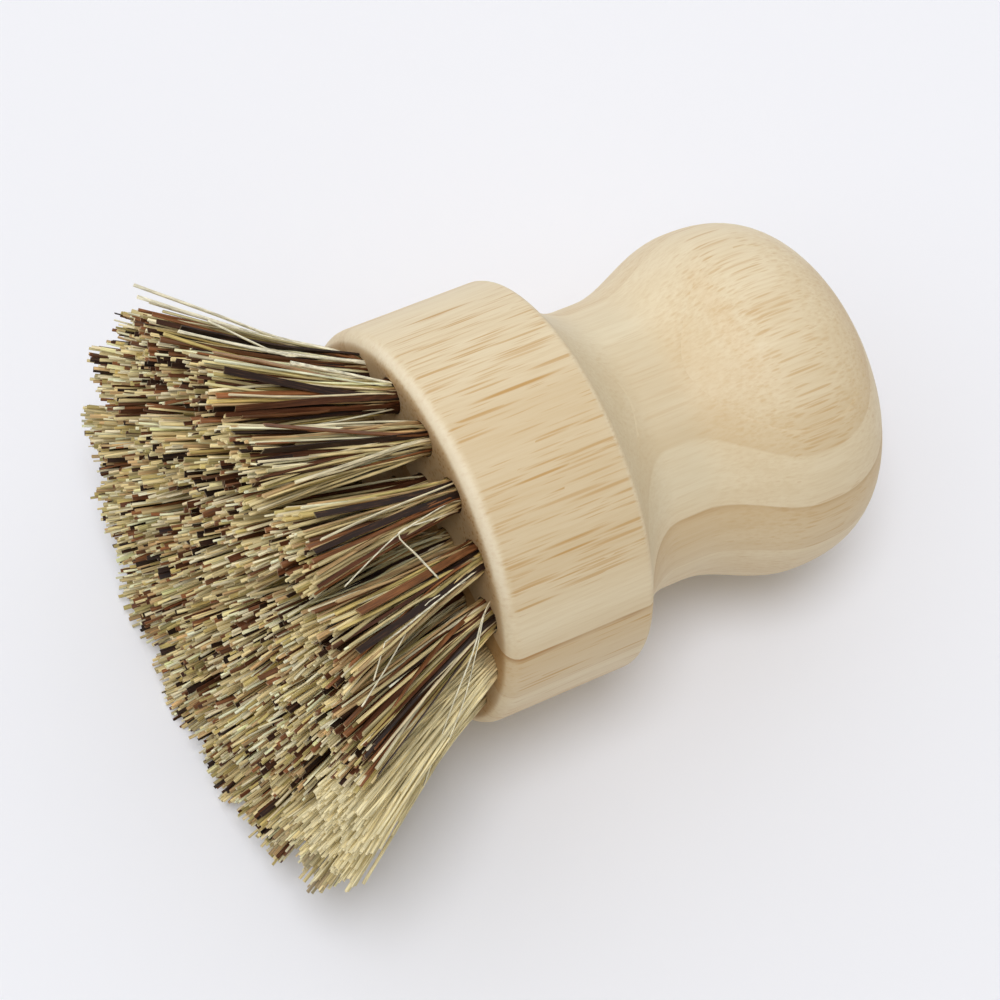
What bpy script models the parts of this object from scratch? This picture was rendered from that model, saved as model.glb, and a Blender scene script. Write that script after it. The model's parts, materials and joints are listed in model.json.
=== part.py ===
"""A pot brush lying on its side, with three rings of fibre tufts in the head of a turned bamboo handle.

The handle is glued up from flat boards. Each tuft is folded round a flat metal anchor at the bottom of
its own blind hole. The brush is built along its own axis and then laid down, so that it rests on its
bristle rim and its knob. Lengths are metres. In the brush's own frame the head's face is at z = 0, the
handle runs along +Z and the bristles along -Z, and +Y is what points up once the brush lies on its side.
"""

import math
import random
from collections import namedtuple

import bmesh
import bpy
from mathutils import Matrix, Vector

MM = 0.001

# Turned handle: radii, the others as shares of the head's, and distances from the face with the tufts.
# The band's far edge is rounded through only part of a quarter turn, and a cove falls from it to the neck
HEAD_RADIUS = 25.0 * MM
NECK_SHARE = 0.724
KNOB_SHARE = 0.888
FACE_FILLET = 2.0 * MM
BAND_END = 18.9 * MM
BAND_EDGE_RADIUS = 1.0 * MM
BAND_EDGE_TURN = math.radians(60.0)
COVE_POWER = 2.2
NECK_START = 28.0 * MM
NECK_LENGTH = 2.9 * MM
KNOB_WIDEST = 45.5 * MM
HANDLE_LENGTH = 60.7 * MM
KNOB_ROUNDNESS = 2.55
TURNED_SIDES = 48
FILLET_STEPS = 3
BAND_EDGE_STEPS = 2
COVE_STEPS = 5
KNOB_STEPS = 6
END_STEPS = 7
SHARP_ANGLE = math.radians(25.0)

# Boards that the handle is glued up from, with their thickness as a share of the head's radius
BOARD_SHARE = 0.296
BOARD_COUNT = 7
GLUE_GAP = 0.3 * MM
CUT_OVERRUN = 2.0 * MM

# Blind holes for the tufts, in rings, with radii as shares of the head's. All of them lean away from one
# point on the axis, this far behind the face
HOLE_SHARE = 0.088
OUTER_RING_SHARE = 0.82
MIDDLE_RING_SHARE = 0.524
INNER_RING_SHARE = 0.228
OUTER_COUNT = 17
MIDDLE_COUNT = 12
INNER_COUNT = 5
AIM_DEPTH = 63.0 * MM
HOLE_DEPTH = 10.0 * MM
HOLE_SIDES = 12

# Bristles: how much wider the rings are at the cut tips, and the share of the room there for a tuft. The
# fan is a little wider than high, and its cut leans: the fibres are longer below the axis than above it
FAN_SHARE = 1.45
FAN_WIDTH_SHARE = 1.055
FAN_HEIGHT_SHARE = 0.98
SPREAD_SHARE = 0.88
TUFT_CLEARANCE = 0.3 * MM
TUFT_SIDES = 8
CORE_SHARE = 0.577
TRIM_AT_RIM = 25.0 * MM
TRIM_AT_MIDDLE = 27.0 * MM
TRIM_LEAN = 1.6 * MM
LENGTH_SCATTER = 0.9 * MM
BEND_SHARE = 0.35
MIDWAY_WIDTH_SHARE = 1.1
TIP_WIDTH_SHARE = 1.35
SEAT_DEPTH = 0.5 * MM
SEED = 7

# Flat metal anchors in the folds of the tufts
ANCHORED_RINGS = ("outer",)
ANCHOR_THICKNESS = 0.4 * MM
ANCHOR_HEIGHT = 1.8 * MM
ANCHOR_CLEARANCE = 0.3 * MM
FOLD_THICKNESS = 0.9 * MM

# A ring of tufts: its first tuft's place in pitches from +Y, its radii on the face and at the cut tips
Ring = namedtuple("Ring", "name count first radius lean tip_radius tip_spread")

BAMBOO_COLOUR = (0.80, 0.66, 0.46, 1.0)
FIBRE_COLOUR = (0.55, 0.45, 0.26, 1.0)
STEEL_COLOUR = (0.62, 0.62, 0.60, 1.0)


def clear_scene():
    for obj in list(bpy.data.objects):
        bpy.data.objects.remove(obj, do_unlink=True)


def material(name, colour, roughness, metallic=0.0):
    """A new material with one shader, which every object gets for itself."""
    made = bpy.data.materials.new(name)
    made.use_nodes = True
    shader = made.node_tree.nodes["Principled BSDF"]
    shader.inputs["Base Color"].default_value = colour
    shader.inputs["Roughness"].default_value = roughness
    shader.inputs["Metallic"].default_value = metallic
    made.diffuse_color = colour
    return made


def new_object(name, mesh, parent):
    made = bpy.data.objects.new(name, mesh)
    bpy.context.scene.collection.objects.link(made)
    made.parent = parent
    return made


def finished_mesh(name, bm):
    bmesh.ops.recalc_face_normals(bm, faces=bm.faces)
    mesh = bpy.data.meshes.new(name)
    bm.to_mesh(mesh)
    bm.free()
    return mesh


def eased(share):
    """0 to 1 with a level start and end, for the rise from the neck to the knob."""
    return (1.0 - math.cos(math.pi * share)) / 2.0


def handle_outline():
    """(radius, distance from the face) along the handle's outside, from its face to the knob's end."""
    points = []
    for i in range(FILLET_STEPS + 1):
        angle = math.pi / 2.0 * i / FILLET_STEPS
        radius = HEAD_RADIUS - FACE_FILLET + FACE_FILLET * math.sin(angle)
        points.append((radius, FACE_FILLET - FACE_FILLET * math.cos(angle)))
    for i in range(BAND_EDGE_STEPS + 1):
        angle = BAND_EDGE_TURN * i / BAND_EDGE_STEPS
        cove_top = HEAD_RADIUS - BAND_EDGE_RADIUS * (1.0 - math.cos(angle))
        cove_start = BAND_END + BAND_EDGE_RADIUS * math.sin(angle)
        points.append((cove_top, cove_start))
    neck_radius = HEAD_RADIUS * NECK_SHARE
    for i in range(1, COVE_STEPS + 1):
        share = i / COVE_STEPS
        radius = neck_radius + (cove_top - neck_radius) * (1.0 - share) ** COVE_POWER
        points.append((radius, cove_start + (NECK_START - cove_start) * share))
    neck_end = NECK_START + NECK_LENGTH
    for i in range(KNOB_STEPS + 1):
        share = i / KNOB_STEPS
        radius = HEAD_RADIUS * (NECK_SHARE + (KNOB_SHARE - NECK_SHARE) * eased(share))
        points.append((radius, neck_end + (KNOB_WIDEST - neck_end) * share))
    for i in range(1, END_STEPS):
        share = math.sin(math.pi / 2.0 * i / END_STEPS)
        radius = HEAD_RADIUS * KNOB_SHARE * (1.0 - share**KNOB_ROUNDNESS) ** (1.0 / KNOB_ROUNDNESS)
        points.append((radius, KNOB_WIDEST + (HANDLE_LENGTH - KNOB_WIDEST) * share))
    return points


def turned_handle(parent):
    """The whole handle as one turned body, which the boards are cut from."""
    bm = bmesh.new()
    face_middle = bm.verts.new((0.0, 0.0, 0.0))
    knob_end = bm.verts.new((0.0, 0.0, HANDLE_LENGTH))
    outline = handle_outline()
    # Half a side is turned on, so that a flat and not an edge is lowest
    turn = math.pi / TURNED_SIDES
    rings = []
    for radius, height in outline:
        ring = []
        for i in range(TURNED_SIDES):
            angle = turn + 2.0 * math.pi * i / TURNED_SIDES
            ring.append(bm.verts.new((radius * math.sin(angle), radius * math.cos(angle), height)))
        rings.append(ring)
    for i in range(TURNED_SIDES):
        j = (i + 1) % TURNED_SIDES
        bm.faces.new((face_middle, rings[0][i], rings[0][j]))
        bm.faces.new((knob_end, rings[-1][j], rings[-1][i]))
        for lower, upper in zip(rings, rings[1:]):
            bm.faces.new((lower[i], upper[i], upper[j], lower[j]))
    return new_object("turned_handle", finished_mesh("turned_handle", bm), parent)


def ring_frame(angle):
    """Outward and sideways directions of a tuft whose place is this angle from +Y."""
    outward = Vector((math.sin(angle), math.cos(angle), 0.0))
    sideways = Vector((math.cos(angle), -math.sin(angle), 0.0))
    return outward, sideways


def leaned(outward, lean):
    """Direction along a tuft that leans outward, and the outward direction square to it."""
    down = Vector((0.0, 0.0, -1.0))
    along = outward * math.sin(lean) + down * math.cos(lean)
    across = outward * math.cos(lean) - down * math.sin(lean)
    return along, across


def rings():
    """The three rings of tufts, from the outside in."""
    made = []
    kinds = (
        ("outer", OUTER_COUNT, 0.5, OUTER_RING_SHARE),
        ("middle", MIDDLE_COUNT, 0.0, MIDDLE_RING_SHARE),
        ("inner", INNER_COUNT, 0.5, INNER_RING_SHARE),
    )
    for name, count, first, share in kinds:
        radius = HEAD_RADIUS * share
        lean = math.atan2(radius, AIM_DEPTH)
        tip_radius = radius * FAN_SHARE
        tip_spread = SPREAD_SHARE * math.pi * tip_radius / count
        made.append(Ring(name, count, first, radius, lean, tip_radius, tip_spread))
    return made


def tuft_places():
    """Every tuft as (name, ring, angle), ring by ring."""
    places = []
    for ring in rings():
        pitch = 2.0 * math.pi / ring.count
        for i in range(ring.count):
            places.append((f"{ring.name}_{i + 1:02d}", ring, pitch * (i + ring.first)))
    return places


def tuft_holes(parent):
    """All the blind holes as one cutter, each a leaning cylinder that overruns the face."""
    bm = bmesh.new()
    for _, ring, angle in tuft_places():
        outward, sideways = ring_frame(angle)
        along, across = leaned(outward, ring.lean)
        mouth = outward * ring.radius
        rotation = Matrix((across, sideways, along)).transposed()
        middle = mouth + along * (CUT_OVERRUN - HOLE_DEPTH) / 2.0
        bmesh.ops.create_cone(
            bm,
            cap_ends=True,
            segments=HOLE_SIDES,
            radius1=HEAD_RADIUS * HOLE_SHARE,
            radius2=HEAD_RADIUS * HOLE_SHARE,
            depth=HOLE_DEPTH + CUT_OVERRUN,
            matrix=Matrix.Translation(middle) @ rotation.to_4x4(),
        )
    return new_object("tuft_holes", finished_mesh("tuft_holes", bm), parent)


def blank_mesh(low, high, start, end):
    """A board before turning: its glued sides' heights along +Y, and its ends' distances from the face."""
    bm = bmesh.new()
    bmesh.ops.create_cube(bm, size=1.0)
    width = 2.0 * (HEAD_RADIUS + CUT_OVERRUN)
    bmesh.ops.scale(bm, vec=(width, high - low, end - start), verts=bm.verts)
    bmesh.ops.translate(bm, vec=(0.0, (low + high) / 2.0, (start + end) / 2.0), verts=bm.verts)
    return finished_mesh("blank", bm)


def add_cut(obj, cutter, operation):
    cut = obj.modifiers.new(f"{operation.lower()} {cutter.name}", "BOOLEAN")
    cut.object = cutter
    cut.operation = operation
    cut.solver = "EXACT"


def applied_mesh(obj):
    """The object's mesh with its cuts made."""
    bpy.context.view_layer.update()
    shaped = obj.evaluated_get(bpy.context.evaluated_depsgraph_get())
    return bpy.data.meshes.new_from_object(shaped)


def blanks():
    """Every board as (name, mesh). The waist parts the outermost boards into a head and a knob piece."""
    thickness = HEAD_RADIUS * BOARD_SHARE
    reach = HEAD_RADIUS + CUT_OVERRUN
    waist = NECK_START + NECK_LENGTH / 2.0
    start, end = -CUT_OVERRUN, HANDLE_LENGTH + CUT_OVERRUN
    made = []
    for number in range(1, BOARD_COUNT + 1):
        middle = (number - (BOARD_COUNT + 1) / 2.0) * thickness
        low = middle - (thickness - GLUE_GAP) / 2.0
        high = middle + (thickness - GLUE_GAP) / 2.0
        name = f"bamboo_board_{number}"
        if 1 < number < BOARD_COUNT:
            made.append((name, blank_mesh(low, high, start, end)))
            continue
        low = -reach if number == 1 else low
        high = reach if number == BOARD_COUNT else high
        made.append((f"{name}_head", blank_mesh(low, high, start, waist - GLUE_GAP / 2.0)))
        made.append((f"{name}_knob", blank_mesh(low, high, waist + GLUE_GAP / 2.0, end)))
    return made


def make_boards(parent):
    """Cuts the turned handle into its boards, with the holes for the tufts in them."""
    handle = turned_handle(parent)
    holes = tuft_holes(parent)
    for name, blank in blanks():
        board = new_object(name, blank, parent)
        add_cut(board, handle, "INTERSECT")
        if not name.endswith("_knob"):
            add_cut(board, holes, "DIFFERENCE")
        turned = applied_mesh(board)
        board.modifiers.clear()
        board.data = turned
        turned.name = name
        turned.materials.append(material(name, BAMBOO_COLOUR, 0.55))
        turned.shade_smooth()
        turned.set_sharp_from_angle(angle=SHARP_ANGLE)
        bpy.data.meshes.remove(blank)
    bpy.data.objects.remove(handle, do_unlink=True)
    bpy.data.objects.remove(holes, do_unlink=True)


def tuft_sections():
    """Corners of the tuft's cross-section as shares of its radius, and its cells as corner numbers.

    Two rings of corners round a middle one: a ring of cells between them, and the core in four.
    """
    corners = []
    for share in (1.0, CORE_SHARE):
        for i in range(TUFT_SIDES):
            angle = 2.0 * math.pi * (i + 0.5) / TUFT_SIDES
            corners.append(Vector((share * math.cos(angle), share * math.sin(angle))))
    corners.append(Vector((0.0, 0.0)))
    middle = len(corners) - 1
    cells = []
    for i in range(TUFT_SIDES):
        j = (i + 1) % TUFT_SIDES
        cells.append((i, j, TUFT_SIDES + j, TUFT_SIDES + i))
    for i in range(0, TUFT_SIDES, 2):
        j = (i + 1) % TUFT_SIDES
        k = (i + 2) % TUFT_SIDES
        cells.append((TUFT_SIDES + i, TUFT_SIDES + j, TUFT_SIDES + k, middle))
    return corners, cells


def trim_depth(tip):
    """Depth of the even, slightly domed and leaning cut at a tip's place in the round fan."""
    rim = rim_radius()
    dome = TRIM_AT_MIDDLE - (TRIM_AT_MIDDLE - TRIM_AT_RIM) * (tip.length / rim) ** 2
    return dome - TRIM_LEAN * tip.y / rim


def hole_reach():
    """How far a hole is clear from its axis, out to the middle of its flat sides."""
    return HEAD_RADIUS * HOLE_SHARE * math.cos(math.pi / HOLE_SIDES)


def tuft_radius():
    """A tuft's radius in its hole, from the middle to a corner."""
    return hole_reach() - TUFT_CLEARANCE


def slot_depths():
    """Top and bottom of the slot in a tuft's fold, as depths along the hole."""
    low = HOLE_DEPTH - TUFT_CLEARANCE - FOLD_THICKNESS
    return low - ANCHOR_HEIGHT - 2.0 * ANCHOR_CLEARANCE, low


def plug_faces(bm, top_ring, mouth, along, across, sideways, radius):
    """The folded end of a tuft in its hole, with a slot through it where the anchor sits in the fold."""
    bottom_depth = HOLE_DEPTH - TUFT_CLEARANCE
    bottom_ring = [bm.verts.new(corner.co - along * bottom_depth) for corner in top_ring]
    bm.faces.new(list(reversed(bottom_ring)))
    flat = radius * math.cos(math.pi / TUFT_SIDES)
    half_width = ANCHOR_THICKNESS / 2.0 + ANCHOR_CLEARANCE
    slot_high, slot_low = slot_depths()
    slots = []
    for side in (1.0, -1.0):
        slot = []
        for width, depth in ((1, slot_high), (-1, slot_high), (-1, slot_low), (1, slot_low)):
            place = mouth - along * depth + across * width * half_width + sideways * side * flat
            slot.append(bm.verts.new(place))
        slots.append(slot)
    quarter = TUFT_SIDES // 4
    for i in range(TUFT_SIDES):
        j = (i + 1) % TUFT_SIDES
        around = (top_ring[i], top_ring[j], bottom_ring[j], bottom_ring[i])
        # The corners start half a side past the outward direction, so these sides face sideways
        if i == quarter - 1:
            frame_faces(bm, around, slots[0])
        elif i == 3 * quarter - 1:
            frame_faces(bm, around, (slots[1][1], slots[1][0], slots[1][3], slots[1][2]))
        else:
            bm.faces.new(around)
    for i in range(4):
        j = (i + 1) % 4
        bm.faces.new((slots[0][i], slots[0][j], slots[1][j], slots[1][i]))


def frame_faces(bm, outer, inner):
    """Four faces between a side's corners and the slot's corners in it."""
    for i in range(4):
        j = (i + 1) % 4
        bm.faces.new((outer[i], outer[j], inner[j], inner[i]))


def tuft_mesh(name, ring, angle, floor, chance):
    """One folded tuft: its end in the hole, and the strands that fan out from there, fused at the roots."""
    outward, sideways = ring_frame(angle)
    along, across = leaned(outward, ring.lean)
    mouth = outward * ring.radius
    radius = tuft_radius()
    corners, cells = tuft_sections()
    bm = bmesh.new()
    roots = [bm.verts.new(mouth + (across * c.x + sideways * c.y) * radius) for c in corners]
    plug_faces(bm, roots[:TUFT_SIDES], mouth, along, across, sideways, radius)
    for cell in cells:
        middle = sum((corners[i] for i in cell), Vector((0.0, 0.0))) / len(cell)
        # The strand bends evenly from the hole's lean to its place at the cut
        root = mouth + (across * middle.x + sideways * middle.y) * radius
        spread = outward * middle.x + sideways * middle.y
        tip = outward * ring.tip_radius + spread * ring.tip_spread
        tip.z = -trim_depth(tip) - LENGTH_SCATTER * (chance.random() - 0.5)
        tip.x *= FAN_WIDTH_SHARE
        tip.y *= FAN_HEIGHT_SHARE
        bend = root + along * (-tip.z * BEND_SHARE)
        midway = (root + bend * 2.0 + tip) / 4.0
        low_ring = [roots[i] for i in cell]
        for centre, width in ((midway, MIDWAY_WIDTH_SHARE), (tip, TIP_WIDTH_SHARE)):
            high_ring = []
            for i in cell:
                offset = (corners[i] - middle) * radius * width
                high_ring.append(bm.verts.new(centre + outward * offset.x + sideways * offset.y))
            for i in range(len(cell)):
                j = (i + 1) % len(cell)
                bm.faces.new((low_ring[i], low_ring[j], high_ring[j], high_ring[i]))
            low_ring = high_ring
        bm.faces.new(low_ring)
    cut_at_floor(bm, floor)
    return finished_mesh(name, bm)


def cut_at_floor(bm, floor):
    """Cuts flat whatever reaches below the surface that the brush lies on."""
    point, up = floor
    if min((vert.co - point).dot(up) for vert in bm.verts) >= 0.0:
        return
    everything = bm.verts[:] + bm.edges[:] + bm.faces[:]
    cut = bmesh.ops.bisect_plane(bm, geom=everything, plane_co=point, plane_no=-up, clear_outer=True)
    edges = [item for item in cut["geom_cut"] if isinstance(item, bmesh.types.BMEdge)]
    bmesh.ops.holes_fill(bm, edges=edges, sides=0)


def make_tufts(parent, floor):
    chance = random.Random(SEED)
    for name, ring, angle in tuft_places():
        mesh = tuft_mesh(f"tuft_{name}", ring, angle, floor, chance)
        tuft = new_object(f"tuft_{name}", mesh, parent)
        tuft.data.materials.append(material(f"tuft_{name}", FIBRE_COLOUR, 0.7))


def make_anchors(parent):
    """A flat strip across the bottom of each hole, in the slot that the tuft folds round."""
    reach = hole_reach() - ANCHOR_CLEARANCE
    length = 2.0 * math.sqrt(reach**2 - (ANCHOR_THICKNESS / 2.0) ** 2)
    depth = sum(slot_depths()) / 2.0
    for name, ring, angle in tuft_places():
        if ring.name not in ANCHORED_RINGS:
            continue
        outward, sideways = ring_frame(angle)
        along, across = leaned(outward, ring.lean)
        bm = bmesh.new()
        bmesh.ops.create_cube(bm, size=1.0)
        bmesh.ops.scale(bm, vec=(ANCHOR_THICKNESS, length, ANCHOR_HEIGHT), verts=bm.verts)
        anchor = new_object(f"anchor_{name}", finished_mesh(f"anchor_{name}", bm), parent)
        anchor.data.materials.append(material(f"anchor_{name}", STEEL_COLOUR, 0.35, 1.0))
        rotation = Matrix((across, sideways, along)).transposed()
        place = outward * ring.radius - along * depth
        anchor.matrix_local = Matrix.Translation(place) @ rotation.to_4x4()


def outermost_strand():
    """Middle and half thickness of a tuft's outermost strand, as shares of the tuft's radius."""
    corners, cells = tuft_sections()
    outermost = [corners[i] for i in cells[TUFT_SIDES - 1]]
    middle = sum(corner.x for corner in outermost) / len(outermost)
    return middle, corners[0].x - middle


def rim_radius():
    """Radius of the round fan at the cut tips, in the middle of the outermost strands."""
    outer = rings()[0]
    return outer.tip_radius + outermost_strand()[0] * outer.tip_spread


def lowest_tip():
    """How far below the axis and how far from the face the lowest strand's outer edge is at its tip."""
    edge = outermost_strand()[1] * tuft_radius() * TIP_WIDTH_SHARE
    return rim_radius() * FAN_HEIGHT_SHARE + edge, TRIM_AT_RIM + TRIM_LEAN


def lying_tilt():
    """Angle at which the brush lies: on its knob, and on its bristle rim, cut there by the seat's depth."""
    low, far = lowest_tip()
    tilts = []
    for radius, height in handle_outline():
        drop = low - radius * math.cos(math.pi / TURNED_SIDES)
        run = height + far
        tilts.append(math.acos(SEAT_DEPTH / math.hypot(drop, run)) - math.atan2(run, drop))
    return min(tilts)


def centre_over_origin(brush):
    """Moves the brush level, so that the origin is under the middle of its length and its width."""
    bpy.context.view_layer.update()
    places = [part.matrix_world @ vert.co for part in brush.children for vert in part.data.vertices]
    for axis in (0, 1):
        reached = [place[axis] for place in places]
        brush.location[axis] -= (min(reached) + max(reached)) / 2.0


def main():
    clear_scene()
    tilt = lying_tilt()
    # The brush's own axes in the world: X is sideways, Y is up and a little towards the knob, Z is along
    turn = Matrix(
        (
            (0.0, math.sin(tilt), math.cos(tilt)),
            (1.0, 0.0, 0.0),
            (0.0, math.cos(tilt), -math.sin(tilt)),
        )
    )
    low, far = lowest_tip()
    face_height = low * math.cos(tilt) - far * math.sin(tilt) - SEAT_DEPTH
    brush = bpy.data.objects.new("brush_axis", None)
    bpy.context.scene.collection.objects.link(brush)
    brush.matrix_world = Matrix.Translation((0.0, 0.0, face_height)) @ turn.to_4x4()
    up = turn.transposed() @ Vector((0.0, 0.0, 1.0))
    floor = (up * -face_height, up)
    make_boards(brush)
    make_tufts(brush, floor)
    make_anchors(brush)
    centre_over_origin(brush)


main()
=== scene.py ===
import json
import math
import random
from collections import namedtuple

import bmesh
import bpy
from mathutils import Matrix, Vector


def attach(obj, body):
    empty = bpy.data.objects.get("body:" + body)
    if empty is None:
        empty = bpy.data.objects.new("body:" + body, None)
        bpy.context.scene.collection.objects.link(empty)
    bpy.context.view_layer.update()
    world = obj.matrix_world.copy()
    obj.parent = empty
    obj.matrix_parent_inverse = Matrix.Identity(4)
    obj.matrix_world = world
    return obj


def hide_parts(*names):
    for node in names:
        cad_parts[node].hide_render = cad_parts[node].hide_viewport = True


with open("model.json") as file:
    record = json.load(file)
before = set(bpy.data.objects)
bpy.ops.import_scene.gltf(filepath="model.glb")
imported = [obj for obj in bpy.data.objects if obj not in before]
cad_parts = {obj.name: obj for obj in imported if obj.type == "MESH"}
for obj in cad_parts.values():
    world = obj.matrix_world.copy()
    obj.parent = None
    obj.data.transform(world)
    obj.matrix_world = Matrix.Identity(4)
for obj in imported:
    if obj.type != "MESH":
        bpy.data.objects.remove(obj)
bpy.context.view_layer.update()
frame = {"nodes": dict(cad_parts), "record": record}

# A pot brush lying on its side. In the brush's own frame the head's face is at z = 0, the handle
# runs along +Z and the bristles along -Z, and +Y is what points up. Lengths are metres.
MM = 0.001

# Turned handle
HEAD_RADIUS = 25.0 * MM
NECK_RADIUS = 18.1 * MM
KNOB_RADIUS = 22.15 * MM
FACE_FILLET = 2.0 * MM
BAND_END = 18.9 * MM
BAND_EDGE_RADIUS = 1.0 * MM
BAND_EDGE_TURN = math.radians(60.0)
COVE_POWER = 2.2
NECK_START = 28.0 * MM
NECK_END = 30.9 * MM
KNOB_WIDEST = 45.5 * MM
HANDLE_LENGTH = 60.7 * MM
KNOB_ROUNDNESS = 2.55
TURNED_STEPS = 160
FILLET_STEPS = 6
BAND_EDGE_STEPS = 5
COVE_STEPS = 16
KNOB_STEPS = 14
END_STEPS = 22
BOARD_THICKNESS = 7.4 * MM
BOARD_COUNT = 7
GLUE_GAP = 0.004 * MM
SHARP_ANGLE = math.radians(35.0)
MERGE_DISTANCE = 0.001 * MM
CUT_DISTANCE = 0.0001 * MM

# Holes and the tufts in them. A ring's first tuft stands this many pitches from the top, and the
# ring's radius is that of its holes on the face. The fan is a little wider than high, and its cut
# leans: the fibres are longer below the axis than above it.
Ring = namedtuple("Ring", "name count first radius strands")
OUTER_RING = Ring("outer", 17, 0.5, 20.5 * MM, 190)
RINGS = (
    OUTER_RING,
    Ring("middle", 12, 0.0, 13.1 * MM, 165),
    Ring("inner", 5, 0.5, 5.7 * MM, 165),
)
HOLE_RADIUS = 2.2 * MM
HOLE_DEPTH = 10.0 * MM
HOLE_STEPS = 24
AIM_DEPTH = 63.0 * MM
FAN_SHARE = 1.45
FAN_WIDTH_SHARE = 1.055
FAN_HEIGHT_SHARE = 0.98
SPREAD_SHARE = 0.88
TRIM_AT_RIM = 25.0 * MM
TRIM_AT_MIDDLE = 27.0 * MM
TRIM_LEAN = 1.6 * MM
TRIM_SCATTER = 0.5 * MM
TRIM_SHORT = 0.5 * MM
RIM_RADIUS = 33.2 * MM
BEND_SHARE = 0.22

# A strand in its hole and on its way to the tips
ROOT_DEPTH = 6.0 * MM
ROOT_MARGIN = 0.15 * MM
FIBRE_STEPS = 6
PACKED_SHARE = 0.95
FLOOR_CLEARANCE = 0.04 * MM
SECOND_BOW = 0.6

# Anchors
ANCHOR_SIZE = (0.4 * MM, 3.6 * MM, 1.8 * MM)
ANCHOR_DEPTH = 7.6 * MM
ANCHOR_BEVEL = 0.08 * MM

chance = random.Random(11)


def linear(red, green, blue):
    """A colour read off a screen, 0 to 255, as the linear values that a shader takes."""
    values = []
    for part in (red, green, blue):
        part = part / 255.0
        values.append(part / 12.92 if part <= 0.04045 else ((part + 0.055) / 1.055) ** 2.4)
    return (*values, 1.0)


def brush_frame():
    """Where the brush lies: from its own frame to the row's."""
    face = frame["record"]["mounts"][0]
    along = -Vector(face["axis"]).normalized()
    side = Vector((0.0, 1.0, 0.0))
    up = along.cross(side)
    turn = Matrix((side, up, along)).transposed()
    return Matrix.Translation(face["pos_m"]) @ turn.to_4x4()


BRUSH = brush_frame()


def linked(name, data):
    """A new object in the scene."""
    made = bpy.data.objects.new(name, data)
    bpy.context.scene.collection.objects.link(made)
    return made


def new_object(name, bm):
    """An object with the bmesh's shape. The bmesh is freed."""
    mesh = bpy.data.meshes.new(name)
    bm.to_mesh(mesh)
    bm.free()
    return linked(name, mesh)


def new_piece(name, bm, materials, replaced=()):
    """Makes a piece of a bmesh in the brush's frame, and ties it to the CAD."""
    bmesh.ops.transform(bm, matrix=BRUSH, verts=bm.verts)
    piece = new_object(name, bm)
    for made in materials:
        piece.data.materials.append(made)
    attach(piece, "root")
    if replaced:
        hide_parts(*replaced)
    return piece


# Shader helpers

def node(tree, kind, **values):
    made = tree.nodes.new(kind)
    for name, value in values.items():
        setattr(made, name, value)
    return made


def feed(tree, socket, value):
    """Links a socket to another, or sets its value."""
    if isinstance(value, bpy.types.NodeSocket):
        tree.links.new(value, socket)
    else:
        socket.default_value = value


def maths(tree, operation, *values, clamp=False):
    made = node(tree, "ShaderNodeMath", operation=operation, use_clamp=clamp)
    for socket, value in zip(made.inputs, values):
        feed(tree, socket, value)
    return made.outputs[0]


def product(tree, first, *others):
    """All the values multiplied, one after another."""
    for value in others:
        first = maths(tree, "MULTIPLY", first, value)
    return first


def rest_of(tree, share):
    return maths(tree, "SUBTRACT", 1.0, share)


def vector_maths(tree, operation, vector, value):
    made = node(tree, "ShaderNodeVectorMath", operation=operation)
    feed(tree, made.inputs[0], vector)
    feed(tree, made.inputs[1], value)
    return made.outputs[0]


def parted(tree, vector):
    """A vector's three numbers."""
    made = node(tree, "ShaderNodeSeparateXYZ")
    feed(tree, made.inputs[0], vector)
    return made.outputs["X"], made.outputs["Y"], made.outputs["Z"]


def ramp(tree, value, low, high, to_low=0.0, to_high=1.0):
    """A smooth change from one level to another between two values, and even outside them."""
    made = node(tree, "ShaderNodeMapRange", interpolation_type="SMOOTHSTEP")
    names = ("Value", "From Min", "From Max", "To Min", "To Max")
    for name, given in zip(names, (value, low, high, to_low, to_high)):
        feed(tree, made.inputs[name], given)
    return made.outputs[0]


def blended(tree, share, first, second, blend="MIX"):
    made = node(tree, "ShaderNodeMix", data_type="RGBA", blend_type=blend)
    feed(tree, made.inputs["Factor"], share)
    feed(tree, made.inputs["A"], first)
    feed(tree, made.inputs["B"], second)
    return made.outputs["Result"]


def noise_at(tree, place, stretch, detail=2.0, roughness=0.5):
    """Noise, stretched by a factor in each of the three directions."""
    made = node(tree, "ShaderNodeTexNoise")
    feed(tree, made.inputs["Vector"], vector_maths(tree, "MULTIPLY", place, stretch))
    feed(tree, made.inputs["Scale"], 1.0)
    feed(tree, made.inputs["Detail"], detail)
    feed(tree, made.inputs["Roughness"], roughness)
    return made.outputs["Fac"]


def cells_at(tree, place, stretch):
    made = node(tree, "ShaderNodeTexVoronoi")
    feed(tree, made.inputs["Vector"], vector_maths(tree, "MULTIPLY", place, stretch))
    feed(tree, made.inputs["Scale"], 1.0)
    return made.outputs


def brush_place(tree):
    """The shaded point in the brush's own frame, in millimetres."""
    back = BRUSH.inverted()
    mapping = node(tree, "ShaderNodeMapping", vector_type="POINT")
    mapping.inputs["Location"].default_value = back.translation
    mapping.inputs["Rotation"].default_value = back.to_euler("XYZ")
    place = node(tree, "ShaderNodeTexCoord")
    tree.links.new(place.outputs["Object"], mapping.inputs["Vector"])
    return vector_maths(tree, "MULTIPLY", mapping.outputs["Vector"], (1.0 / MM,) * 3)


NUMBER = "NodeSocketFloat"
LOOK_SOCKETS = (("Colour", "NodeSocketColor"), ("Roughness", NUMBER), ("Height", NUMBER))


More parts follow.
